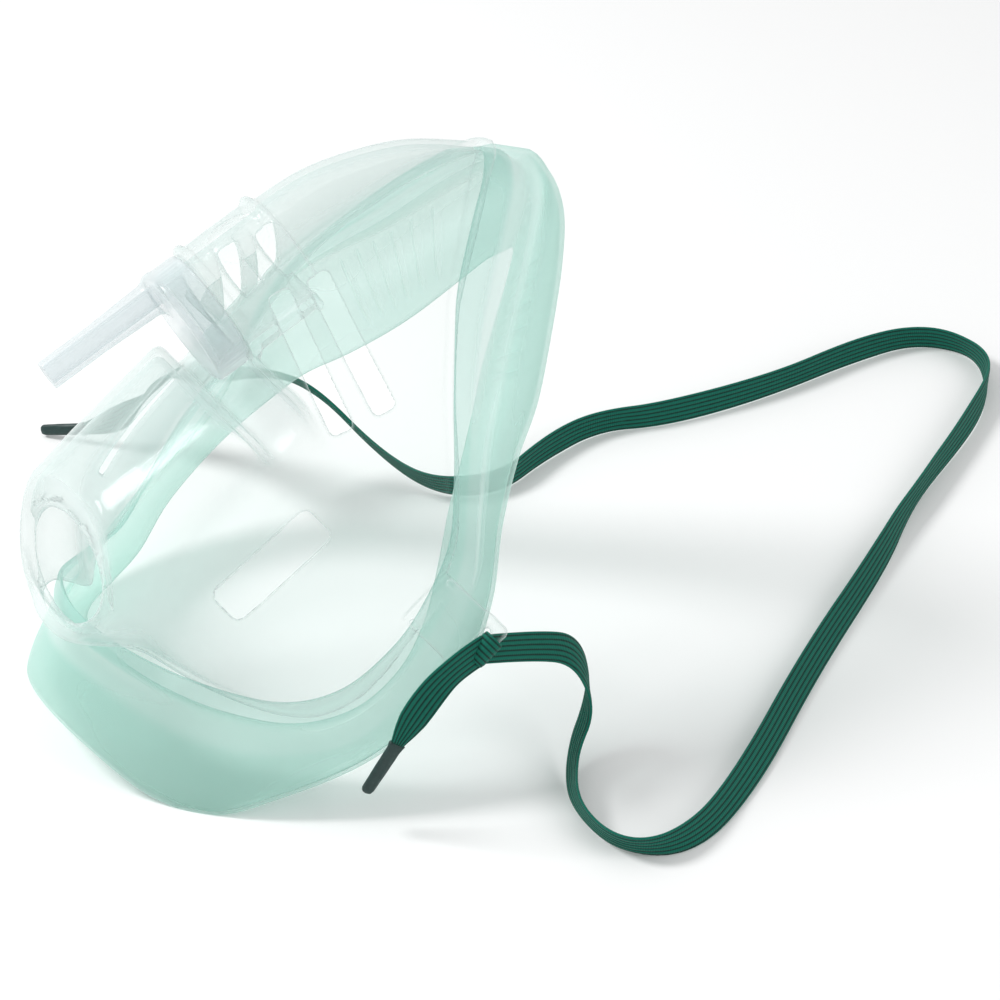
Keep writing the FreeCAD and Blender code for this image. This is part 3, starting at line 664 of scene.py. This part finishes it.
def ribbon_section():
    """Outline of the flat elastic: rounded edges and rows of lengthwise cords on both faces."""
    count = 48
    across = np.cos(np.linspace(0.0, math.pi, count))
    edge = (1.0 - np.abs(across) ** 8) ** 0.5
    cords = np.abs(np.cos(across * math.pi * RIBBON_CORDS / 2))
    height = RIBBON_THICK / 2 * edge * (0.72 + 0.28 * cords ** 0.6)
    upper = np.stack([across * RIBBON_WIDTH / 2, height], axis=1)
    lower = np.stack([across[::-1] * RIBBON_WIDTH / 2, -height[::-1]], axis=1)[1:-1]
    return np.vstack([upper, lower])


def ribbon(name, route, narrow_end=False):
    """A flat elastic along a route, turned as it lies."""
    line = route_line(name, route)
    count = len(line)
    spread = np.linspace(0.0, len(route) - 1.0, count)
    across_given = np.array([across for _, across in route], dtype=float)
    across = np.stack([np.interp(spread, np.arange(len(route)), across_given[:, d])
                       for d in range(3)], axis=1)
    kernel = np.hanning(15)
    kernel /= kernel.sum()
    padded = np.pad(across, ((7, 7), (0, 0)), mode="edge")
    across = np.stack([np.convolve(padded[:, d], kernel, mode="valid") for d in range(3)], axis=1)
    along = np.gradient(line, axis=0)
    along /= np.linalg.norm(along, axis=1)[:, None]
    across -= along * (across * along).sum(axis=1)[:, None]
    across /= np.linalg.norm(across, axis=1)[:, None]
    normal = np.cross(along, across)
    section = ribbon_section() * MM
    width = np.ones(count)
    if narrow_end:
        width = np.interp(np.linspace(0.0, 1.0, count), (0.0, 0.75, 0.84, 0.92, 1.0),
                          (1.0, 1.0, 0.95, 0.75, 0.45))
    spots = (line[:, None, :] + across[:, None, :] * (section[:, 0][None, :, None]
                                                      * width[:, None, None])
             + normal[:, None, :] * section[:, 1][None, :, None])
    spots[:, :, 2] = np.maximum(spots[:, :, 2], 0.2 * MM)
    ring = len(section)
    faces = []
    for row in range(count - 1):
        for place in range(ring):
            a = row * ring + place
            b = row * ring + (place + 1) % ring
            faces.append((a, b, b + ring, a + ring))
    faces.append(tuple(range(ring))[::-1])
    faces.append(tuple(range((count - 1) * ring, count * ring)))
    piece = add_object(name, spots.reshape(-1, 3), faces)
    lanes = piece.data.uv_layers.new(name="ribbon")
    length = np.concatenate([[0.0], np.cumsum(np.linalg.norm(np.diff(line, axis=0), axis=1))])
    for loop in piece.data.loops:
        row, place = divmod(loop.vertex_index, ring)
        lanes.data[loop.index].uv = (section[place, 0] * 1000.0, length[row] * 1000.0)
    return piece, line


def bar_wrap(name, side):
    """The turn of elastic round one lug's bar."""
    section = ribbon_section()
    middle = np.array((LUG_BAR[0], side * LUG_BAR[1], LUG_BAR[2]))
    radius = LUG_BAR_RADIUS + RIBBON_THICK / 2 + 0.05
    rows = 40
    spots = []
    for row in range(rows):
        turn = 2 * math.pi * row / rows
        out = np.array((0.0, math.cos(turn), math.sin(turn)))
        for across, height in section:
            spots.append(middle + np.array((across, 0.0, 0.0)) + out * (radius + height))
    ring = len(section)
    faces = []
    for row in range(rows):
        following = (row + 1) % rows
        for place in range(ring):
            right = (place + 1) % ring
            faces.append((row * ring + place, row * ring + right,
                          following * ring + right, following * ring + place))
    piece = add_object(name, to_rest(np.array(spots)), faces)
    lanes = piece.data.uv_layers.new(name="ribbon")
    for loop in piece.data.loops:
        row, place = divmod(loop.vertex_index, ring)
        lanes.data[loop.index].uv = (section[place, 0], row * 2 * math.pi * radius / rows)
    return piece


def sealed_tip(name, start, end, across):
    """Hot-cut end of the elastic, pressed narrow: a rounded bar with a slight twist of ridges."""
    start = np.array(start, dtype=float)
    along = np.array(end, dtype=float) - start
    length = np.linalg.norm(along)
    along /= length
    across = np.array(across, dtype=float)
    across -= along * across.dot(along)
    across /= np.linalg.norm(across)
    normal = np.cross(along, across)
    rows, ring = 36, 32
    spots = []
    for row in range(rows):
        share = row / (rows - 1)
        closing = math.sqrt(max(0.0, 1.0 - max(0.0, (share - 0.9) / 0.1) ** 2)) * 0.85 + 0.15
        width = np.interp(share, (0.0, 0.12, 1.0), (1.75, 1.4, 1.25)) * closing
        height = np.interp(share, (0.0, 0.12, 1.0), (0.6, 0.8, 0.7)) * closing
        for place in range(ring):
            turn = 2 * math.pi * place / ring
            ridge = 1.0 + 0.05 * math.cos(turn * 8 + share * 6)
            reach = (abs(math.cos(turn)) ** 3 + abs(math.sin(turn)) ** 3) ** (-1 / 3) * ridge
            spots.append(start + along * length * share
                         + across * width * math.cos(turn) * reach
                         + normal * height * math.sin(turn) * reach)
    faces = []
    for row in range(rows - 1):
        for place in range(ring):
            a = row * ring + place
            b = row * ring + (place + 1) % ring
            faces.append((a, b, b + ring, a + ring))
    faces.append(tuple(range(ring))[::-1])
    faces.append(tuple(range((rows - 1) * ring, rows * ring)))
    return add_object(name, np.array(spots) * MM, faces)


# Colour of the seal's skin, from the shell's rim over fold and roll to the inner lip: darker mint
# by the rim, a pale strip over the fold that is a painted highlight, then mid tones over the roll
# and lip.
SEAL_TINTS_AND_FOLD_HIGHLIGHT = [(0.0, (0.56, 0.80, 0.75)), (0.16, (0.60, 0.82, 0.77)), (0.20, (0.90, 0.96, 0.95)),
              (0.31, (0.88, 0.95, 0.94)), (0.36, (0.64, 0.84, 0.79)), (0.62, (0.68, 0.86, 0.81)),
              (0.74, (0.80, 0.92, 0.89)), (1.0, (0.70, 0.88, 0.83))]


# ---- materials ---------------------------------------------------------------------------------
def new_material(name):
    """An empty node material with its output."""
    material = bpy.data.materials.new(name)
    material.use_nodes = True
    material.node_tree.nodes.clear()
    output = material.node_tree.nodes.new("ShaderNodeOutputMaterial")
    return material, material.node_tree, output


def noise(tree, scale, detail=3.0):
    """Soft random spots over the piece, 0 to 1."""
    place = tree.nodes.new("ShaderNodeTexCoord")
    texture = tree.nodes.new("ShaderNodeTexNoise")
    texture.inputs["Scale"].default_value = scale
    texture.inputs["Detail"].default_value = detail
    tree.links.new(place.outputs["Object"], texture.inputs["Vector"])
    return texture.outputs["Fac"]


def remap(tree, value, low, high):
    """A 0 to 1 value spread from low to high."""
    node = tree.nodes.new("ShaderNodeMapRange")
    node.inputs["To Min"].default_value = low
    node.inputs["To Max"].default_value = high
    tree.links.new(value, node.inputs["Value"])
    return node.outputs["Result"]


def bumped(tree, height, strength, distance):
    """A surface direction roughened by a height."""
    node = tree.nodes.new("ShaderNodeBump")
    node.inputs["Strength"].default_value = strength
    node.inputs["Distance"].default_value = distance
    tree.links.new(height, node.inputs["Height"])
    return node.outputs["Normal"]


def skin_tint_and_highlight(tree, stops):
    """Colour by the place on the seal's skin, from the shell's rim (0) to the inner lip (1), with
    a painted highlight over the fold.
    """
    place = tree.nodes.new("ShaderNodeUVMap")
    place.uv_map = "skin"
    split = tree.nodes.new("ShaderNodeSeparateXYZ")
    tree.links.new(place.outputs["UV"], split.inputs["Vector"])
    ramp = tree.nodes.new("ShaderNodeValToRGB")
    ramp.color_ramp.interpolation = "EASE"
    while len(ramp.color_ramp.elements) < len(stops):
        ramp.color_ramp.elements.new(0.5)
    for element, (position, colour) in zip(ramp.color_ramp.elements, stops):
        element.position = position
        element.color = (*colour, 1.0)
    tree.links.new(split.outputs["X"], ramp.inputs["Fac"])
    return ramp.outputs["Color"]


def see_through(name, body_colour, clear_colour, faced, edge_on, roughness, spread=0.5,
                glow=0.0, tints_and_highlight=None):
    """A thin-walled plastic: clear when looked through squarely, more solid when seen edge on."""
    material, tree, output = new_material(name)
    surface = tree.nodes.new("ShaderNodeBsdfPrincipled")
    surface.inputs["Base Color"].default_value = (*body_colour, 1.0)
    surface.inputs["IOR"].default_value = 1.49
    # The seal's colour ramp carries a painted highlight: a pale strip over the fold.
    tint = skin_tint_and_highlight(tree, tints_and_highlight) if tints_and_highlight else None
    if tint:
        tree.links.new(tint, surface.inputs["Base Color"])
    surface.inputs["Coat Weight"].default_value = 0.25
    surface.inputs["Coat Roughness"].default_value = 0.08
    cloud = noise(tree, 160.0)
    tree.links.new(remap(tree, cloud, roughness * 0.7, roughness * 1.3),
                   surface.inputs["Roughness"])
    tree.links.new(bumped(tree, noise(tree, 420.0), 0.05, 0.0002), surface.inputs["Normal"])
    lit = surface.outputs["BSDF"]
    if glow:
        through = tree.nodes.new("ShaderNodeBsdfTranslucent")
        tree.links.new(tint, through.inputs["Color"])
        both = tree.nodes.new("ShaderNodeMixShader")
        both.inputs[0].default_value = glow
        tree.links.new(lit, both.inputs[1])
        tree.links.new(through.outputs["BSDF"], both.inputs[2])
        lit = both.outputs["Shader"]
    clear = tree.nodes.new("ShaderNodeBsdfTransparent")
    clear.inputs["Color"].default_value = (*clear_colour, 1.0)
    facing = tree.nodes.new("ShaderNodeLayerWeight")
    facing.inputs["Blend"].default_value = spread
    solid = remap(tree, facing.outputs["Facing"], faced, edge_on)
    mixed = tree.nodes.new("ShaderNodeMixShader")
    tree.links.new(solid, mixed.inputs[0])
    tree.links.new(clear.outputs["BSDF"], mixed.inputs[1])
    tree.links.new(lit, mixed.inputs[2])
    tree.links.new(mixed.outputs["Shader"], output.inputs["Surface"])
    return material


def elastic_material():
    """Dark green knitted elastic with a fine cross weave, its colour painted lighter on the cords
    and darker in the valleys between them as painted shade.
    """
    material, tree, output = new_material("elastic")
    surface = tree.nodes.new("ShaderNodeBsdfPrincipled")
    surface.inputs["Roughness"].default_value = 0.72
    surface.inputs["Sheen Weight"].default_value = 0.08
    surface.inputs["Specular IOR Level"].default_value = 0.25
    surface.inputs["Sheen Roughness"].default_value = 0.4
    place = tree.nodes.new("ShaderNodeUVMap")
    place.uv_map = "ribbon"
    split = tree.nodes.new("ShaderNodeSeparateXYZ")
    tree.links.new(place.outputs["UV"], split.inputs["Vector"])
    lanes = tree.nodes.new("ShaderNodeMath")
    lanes.operation = "MULTIPLY"
    lanes.inputs[1].default_value = math.pi * RIBBON_CORDS / RIBBON_WIDTH
    tree.links.new(split.outputs["X"], lanes.inputs[0])
    wave = tree.nodes.new("ShaderNodeMath")
    wave.operation = "COSINE"
    tree.links.new(lanes.outputs["Value"], wave.inputs[0])
    lane = tree.nodes.new("ShaderNodeMath")
    lane.operation = "ABSOLUTE"
    tree.links.new(wave.outputs["Value"], lane.inputs[0])
    rows = tree.nodes.new("ShaderNodeTexWave")
    rows.wave_type = "BANDS"
    rows.bands_direction = "Y"
    rows.inputs["Scale"].default_value = 0.62
    rows.inputs["Distortion"].default_value = 1.2
    rows.inputs["Detail"].default_value = 1.0
    tree.links.new(place.outputs["UV"], rows.inputs["Vector"])
    speckle = noise(tree, 900.0, 4.0)
    ramp = tree.nodes.new("ShaderNodeValToRGB")
    ramp.color_ramp.elements[0].position = 0.05
    ramp.color_ramp.elements[0].color = (0.0, 0.016, 0.013, 1.0)
    ramp.color_ramp.elements[1].position = 0.75
    ramp.color_ramp.elements[1].color = (0.0, 0.130, 0.088, 1.0)
    # Painted shade: the colour darkens into the valleys between the cords, times a random
    # speckle.
    cord_shade_and_speckle = tree.nodes.new("ShaderNodeMath")
    cord_shade_and_speckle.operation = "MULTIPLY"
    tree.links.new(lane.outputs["Value"], cord_shade_and_speckle.inputs[0])
    tree.links.new(remap(tree, speckle, 0.65, 1.25), cord_shade_and_speckle.inputs[1])
    tree.links.new(cord_shade_and_speckle.outputs["Value"], ramp.inputs["Fac"])
    tree.links.new(ramp.outputs["Color"], surface.inputs["Base Color"])
    height = tree.nodes.new("ShaderNodeMath")
    height.operation = "MULTIPLY_ADD"
    height.inputs[1].default_value = 0.4
    tree.links.new(rows.outputs["Fac"], height.inputs[0])
    tree.links.new(lane.outputs["Value"], height.inputs[2])
    tree.links.new(bumped(tree, height.outputs["Value"], 0.6, 0.00025),
                   surface.inputs["Normal"])
    tree.links.new(surface.outputs["BSDF"], output.inputs["Surface"])
    return material


def sealed_material():
    """The elastic's fused end: nearly black green with a dull shine."""
    material, tree, output = new_material("sealed_end")
    surface = tree.nodes.new("ShaderNodeBsdfPrincipled")
    ramp = tree.nodes.new("ShaderNodeValToRGB")
    ramp.color_ramp.elements[0].color = (0.002, 0.018, 0.016, 1.0)
    ramp.color_ramp.elements[1].color = (0.012, 0.05, 0.045, 1.0)
    tree.links.new(noise(tree, 700.0), ramp.inputs["Fac"])
    tree.links.new(ramp.outputs["Color"], surface.inputs["Base Color"])
    tree.links.new(remap(tree, noise(tree, 500.0), 0.35, 0.6), surface.inputs["Roughness"])
    tree.links.new(bumped(tree, noise(tree, 900.0), 0.3, 0.0002), surface.inputs["Normal"])
    tree.links.new(surface.outputs["BSDF"], output.inputs["Surface"])
    return material


def floor_material():
    """Plain pale matt floor."""
    material, tree, output = new_material("pale_floor")
    surface = tree.nodes.new("ShaderNodeBsdfPrincipled")
    surface.inputs["Base Color"].default_value = (0.93, 0.935, 0.935, 1.0)
    surface.inputs["Roughness"].default_value = 0.6
    tree.links.new(surface.outputs["BSDF"], output.inputs["Surface"])
    return material


def give(piece, material):
    """One material over the whole piece."""
    piece.data.materials.clear()
    piece.data.materials.append(material)


# ---- studio ------------------------------------------------------------------------------------
def area_light(name, place, target, size, power):
    """A round soft light that looks at a target."""
    light = bpy.data.lights.new(name, "AREA")
    light.shape = "DISK"
    light.size = size
    light.energy = power
    holder = bpy.data.objects.new(name, light)
    holder.location = place
    aim = Vector(target) - Vector(place)
    holder.rotation_euler = aim.to_track_quat("-Z", "Y").to_euler()
    bpy.context.scene.collection.objects.link(holder)


def studio():
    """A white sweep of floor, one soft key from behind on the left, and a pale surround."""
    floor = add_object("studio_floor", np.array([(-4.0, -4.0, 0.0), (4.0, -4.0, 0.0),
                                                 (4.0, 4.0, 0.0), (-4.0, 4.0, 0.0)]),
                       [(0, 1, 2, 3)], smooth=False)
    give(floor, floor_material())
    world = bpy.data.worlds.new("studio")
    world.use_nodes = True
    world.node_tree.nodes["Background"].inputs["Color"].default_value = (1.0, 1.0, 1.0, 1.0)
    world.node_tree.nodes["Background"].inputs["Strength"].default_value = 0.62
    bpy.context.scene.world = world
    area_light("key", (-0.5, 0.45, 0.75), (0.02, 0.0, 0.04), 0.30, 6.5)
    area_light("fill", (0.5, -0.7, 0.6), (0.03, 0.0, 0.03), 0.6, 2.0)
    bpy.context.scene.view_settings.view_transform = "Standard"
    bpy.context.scene.cycles.transparent_max_bounces = 32


def camera():
    """Where the object is seen from: 32 degrees round to its left front and 35 degrees up."""
    right = Vector((0.848, -0.530, 0.0))
    up = Vector((0.304, 0.487, 0.819))
    back = Vector((-0.434, -0.695, 0.574))
    target = Vector(REST_SHIFT) + right * 29.35 + up * 1.74
    view = bpy.data.cameras.new("camera")
    view.sensor_width = 36.0
    view.lens = 107.6
    view.clip_start = 0.01
    holder = bpy.data.objects.new("camera", view)
    holder.location = (target + back * 650.0) * MM
    holder.rotation_euler = (-back).to_track_quat("-Z", "Y").to_euler()
    bpy.context.scene.collection.objects.link(holder)
    bpy.context.scene.camera = holder


# ---- assembly ----------------------------------------------------------------------------------
def dress(piece, material, node=None, body="mask"):
    """Material, slot and body of a piece, and the CAD node it stands for."""
    give(piece, material)
    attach(piece, body)
    if node:
        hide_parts(node)


def place_straps(fabric, fused_end):
    """The head strap, its two free tails and its turns round the lug bars."""
    tip_left = sealed_tip("sealed_tip_near", LEFT_TAIL_ROUTE[-1][0], LEFT_TIP_END,
                          LEFT_TAIL_ROUTE[-1][1])
    tip_right = sealed_tip("sealed_tip_far", RIGHT_TAIL_ROUTE[-1][0], RIGHT_TIP_END,
                           RIGHT_TAIL_ROUTE[-1][1])
    loop, loop_line = ribbon("head_strap", LOOP_ROUTE)
    left, _ = ribbon("strap_tail_near", LEFT_TAIL_ROUTE, narrow_end=True)
    right, right_line = ribbon("strap_tail_far", RIGHT_TAIL_ROUTE, narrow_end=True)
    wraps = [bar_wrap("strap_turn_near", -1), bar_wrap("strap_turn_far", 1)]
    dress(loop, fabric, "strap_loop")
    dress(left, fabric, "strap_tail_left")
    dress(right, fabric, "strap_tail_right")
    dress(tip_left, fused_end, "strap_tip_left")
    dress(tip_right, fused_end, "strap_tip_right")
    for wrap in wraps:
        dress(wrap, fabric)


def main():
    """The whole mask, its strap, the studio and the camera."""
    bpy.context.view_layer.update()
    step = 0.6
    shell = mesh_field("clear_shell", shell_field, (-64, -64, 3), (76, 64, 92), step)
    connector = mesh_field("swivel_connector", connector_field, (-32, -15, 55), (12, 15, 96),
                           step * 0.7)
    seal = face_seal()
    clear = see_through("clear_plastic", (0.74, 0.83, 0.815), (0.969, 0.982, 0.978),
                        0.015, 0.95, 0.10, spread=0.26)
    cloudy = see_through("clear_connector", (0.79, 0.84, 0.85), (0.945, 0.962, 0.966),
                         0.10, 0.85, 0.14, spread=0.35)
    green = see_through("soft_green", SEAL_TINTS_AND_FOLD_HIGHLIGHT[0][1], (0.90, 0.962, 0.945),
                        0.17, 0.75, 0.38, glow=0.4, tints_and_highlight=SEAL_TINTS_AND_FOLD_HIGHLIGHT)
    dress(shell, clear, "mask_shell")
    dress(connector, cloudy, "tubing_connector", "connector")
    dress(seal, green, "face_seal")
    place_straps(elastic_material(), sealed_material())
    studio()
    camera()


main()
